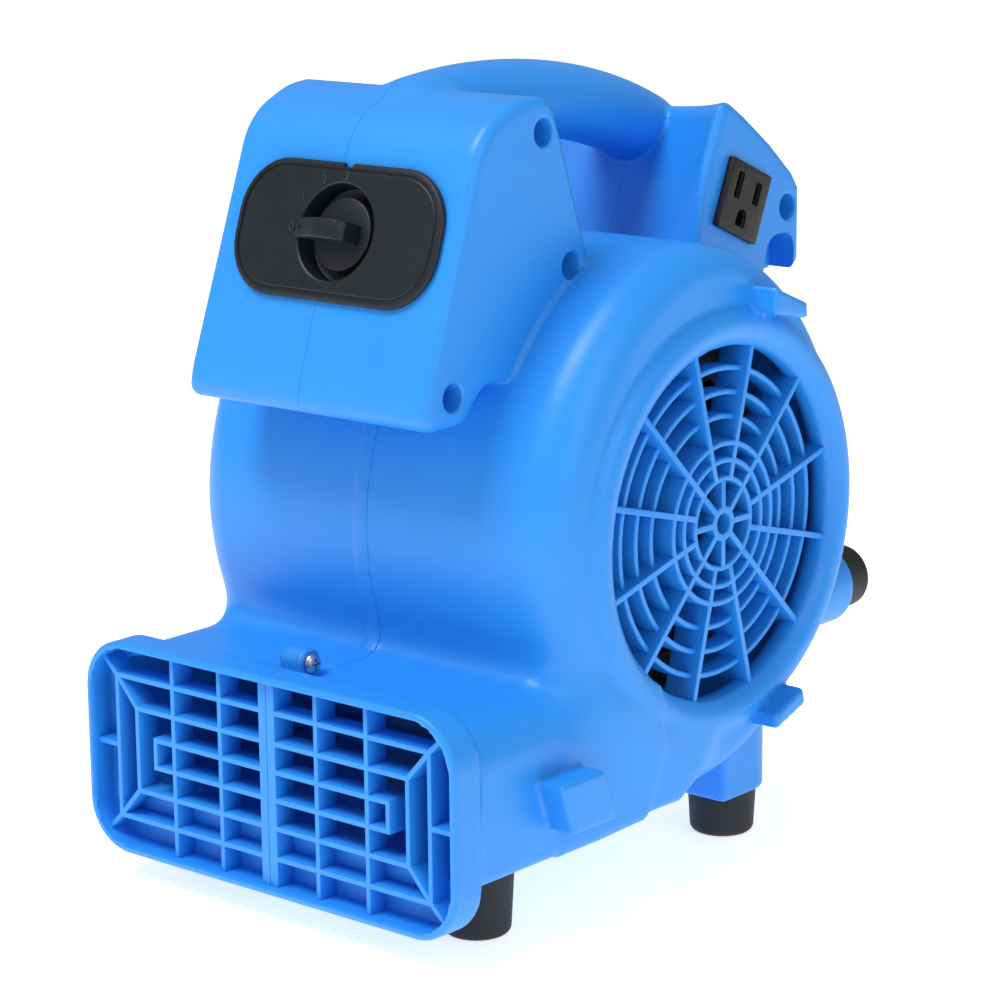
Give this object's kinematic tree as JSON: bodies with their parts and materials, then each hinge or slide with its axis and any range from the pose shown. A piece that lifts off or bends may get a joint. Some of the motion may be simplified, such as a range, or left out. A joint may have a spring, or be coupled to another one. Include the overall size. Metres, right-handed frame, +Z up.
{
  "type": "air mover",
  "caption": "Small centrifugal air mover: two-half blue scroll housing with grilles over the intakes and outlet, carrying handle, rotary switch, mains outlet and rubber feet.",
  "frame": {"origin": "centre of the footprint at floor level, on the seam between the two housing halves", "axes": "+X to the machine's right side (the side with the mains outlet) as seen from behind it, +Y from the air outlet to the back, +Z up"},
  "size_m": [0.208, 0.264, 0.3067],
  "materials": {
    "blue_plastic": "moulded polyethylene with a fine satin grain",
    "black_plastic": "moulded with a fine matt grain",
    "fan_plastic": "plain moulded",
    "foot_rubber": "plain moulded",
    "zinc_steel": "zinc plated",
    "laminated_steel": "varnished stack",
    "motor_case": "as cast",
    "pale_plastic": "plain moulded",
    "wire_sheath": "plain sleeve"
  },
  "bodies": {
    "housing": {"right_housing": "blue_plastic", "left_housing": "blue_plastic", "switch_plate": "black_plastic", "receptacle": "black_plastic", "cord_gland": "black_plastic", "foot_front_right": "foot_rubber", "foot_front_left": "foot_rubber", "foot_rear_right": "foot_rubber", "foot_rear_left": "foot_rubber", "foot_back_right": "foot_rubber", "foot_back_left": "foot_rubber", "screw_switch_box_top": "zinc_steel", "screw_switch_box_rear": "zinc_steel", "screw_switch_box_bottom": "zinc_steel", "screw_outlet_box": "zinc_steel", "screw_collar_top": "zinc_steel", "screw_collar_bottom": "zinc_steel", "screw_motor_bracket_1": "zinc_steel", "screw_motor_bracket_2": "zinc_steel", "screw_motor_bracket_3": "zinc_steel", "screw_motor_bracket_4": "zinc_steel", "screw_foot_front_right": "zinc_steel", "screw_foot_front_left": "zinc_steel", "screw_foot_rear_right": "zinc_steel", "screw_foot_rear_left": "zinc_steel", "screw_foot_back_right": "zinc_steel", "screw_foot_back_left": "zinc_steel", "motor_bracket": "zinc_steel", "bearing_left": "zinc_steel", "bearing_right": "zinc_steel", "motor_stator": "laminated_steel", "motor_cap_left": "motor_case", "motor_cap_right": "motor_case", "rotary_switch": "pale_plastic", "run_capacitor": "pale_plastic", "wiring_loom": "wire_sheath"},
    "fan_rotor": {"fan_wheel": "fan_plastic", "fan_nut": "zinc_steel", "motor_shaft": "zinc_steel", "motor_rotor": "laminated_steel"},
    "knob": {"switch_knob": "black_plastic", "switch_spindle": "pale_plastic"}
  },
  "joints": [
    {"name": "fan_spin", "type": "hinge", "parent": "housing", "child": "fan_rotor", "pos_m": [0, 0.025, 0.1358], "axis": [1, 0, 0], "continuous": true},
    {"name": "knob_turn", "type": "hinge", "parent": "housing", "child": "knob", "pos_m": [0, -0.08479, 0.2507], "axis": [0, -0.947, 0.3211], "range_deg": [-90, 0]}
  ]
}
